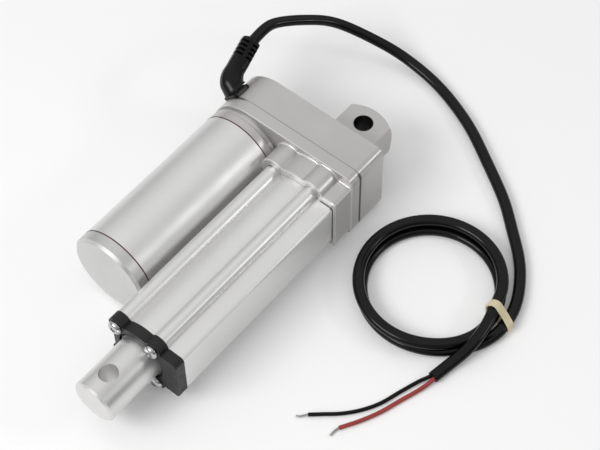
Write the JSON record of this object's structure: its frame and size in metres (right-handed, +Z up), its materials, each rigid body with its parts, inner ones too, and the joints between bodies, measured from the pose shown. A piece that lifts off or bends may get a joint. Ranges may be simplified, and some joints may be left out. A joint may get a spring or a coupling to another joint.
{
  "type": "linear actuator",
  "caption": "Small electric linear actuator with a parallel motor, rear and front eyes, a moulded elbow plug and a tied two-core cord.",
  "frame": {"origin": "centre of the rear eye's bore", "axes": "+X along the rod from the rear eye towards the front eye; +Z up along both eye bores; the motor is on the -Y side"},
  "size_m": [0.2214, 0.1663, 0.0382],
  "materials": {
    "cast": "silver-grey paint on die-cast alloy, satin",
    "gasket": "thin dark sheet",
    "steel": "machined",
    "anodised": "anodised, satin",
    "cap": "fine moulded grain",
    "chrome": "plated",
    "rubber": "dull",
    "nylon": "natural acetal",
    "seal": "dark red-brown",
    "motor_skin": "anodised, satin",
    "magnet": "sintered",
    "phenolic": "laminate",
    "carbon": "graphite",
    "brass": "machined",
    "board": "coated board",
    "switch_body": "moulded",
    "switch_button": "moulded",
    "rod": "anodised, satin",
    "cam": "moulded",
    "lamination": "stacked sheet",
    "copper": "enamelled wire and bare copper",
    "plug": "moulded soft PVC, semi-gloss",
    "jacket": "extruded PVC, semi-gloss",
    "band": "natural rubber",
    "lead_black": "PVC insulation",
    "lead_red": "PVC insulation",
    "tinned": "tinned copper strands"
  },
  "bodies": {
    "housing": {"rear_cover": "cast", "housing_gasket": "gasket", "gear_housing": "cast", "cover_screws": "steel", "outer_tube": "anodised", "front_cap": "cap", "front_cap_screws": "chrome", "rod_wiper": "rubber", "rod_bushing": "nylon", "motor_flange": "cast", "motor_screws": "steel", "motor_seals": "seal", "motor_tube": "motor_skin", "motor_end_cap": "motor_skin", "motor_magnets": "magnet", "motor_bearings": "steel", "brush_card": "phenolic", "brushes": "carbon", "spindle_bearing": "steel", "bearing_retainer": "steel", "spindle_bush": "brass", "idler_axle": "steel", "switch_board": "board", "limit_switches": "switch_body", "switch_buttons": "switch_button", "power_socket": "switch_body", "socket_pins": "brass", "internal_wires": "lead_red", "connector_plug": "plug", "cord_tube": "jacket", "cord_coil": "jacket", "cord_tail": "jacket", "rubber_band": "band", "black_lead": "lead_black", "red_lead": "lead_red", "lead_tips": "tinned"},
    "rod": {"piston_rod": "rod", "drive_nut": "nylon", "nut_pins": "steel", "switch_cam": "cam"},
    "spindle": {"lead_screw": "steel", "spindle_gear": "nylon", "thrust_washer": "brass"},
    "idler": {"idler_gear": "nylon"},
    "rotor": {"motor_shaft": "steel", "motor_pinion": "brass", "armature_core": "lamination", "armature_windings": "copper", "commutator": "copper"}
  },
  "joints": [
    {"name": "rod_slide", "type": "slide", "parent": "housing", "child": "rod", "axis": [1, 0, 0], "range_m": [0, 0.05]},
    {"name": "spindle_turn", "type": "hinge", "parent": "housing", "child": "spindle", "pos_m": [0.05, 0, 0], "axis": [-1, 0, 0], "range_deg": [0, 6000]},
    {"name": "idler_turn", "type": "hinge", "parent": "housing", "child": "idler", "pos_m": [0.02, -0.0176, 0], "axis": [-1, 0, 0], "range_deg": [-12860, 0]},
    {"name": "rotor_turn", "type": "hinge", "parent": "housing", "child": "rotor", "pos_m": [0.06, -0.0351, 0], "axis": [-1, 0, 0], "range_deg": [0, 40720]}
  ],
  "couplings": [
    {"joint": "spindle_turn", "follows": "rod_slide", "rad_per_m": 2094.4},
    {"joint": "idler_turn", "follows": "rod_slide", "rad_per_m": -4488},
    {"joint": "rotor_turn", "follows": "rod_slide", "rad_per_m": 14212}
  ]
}
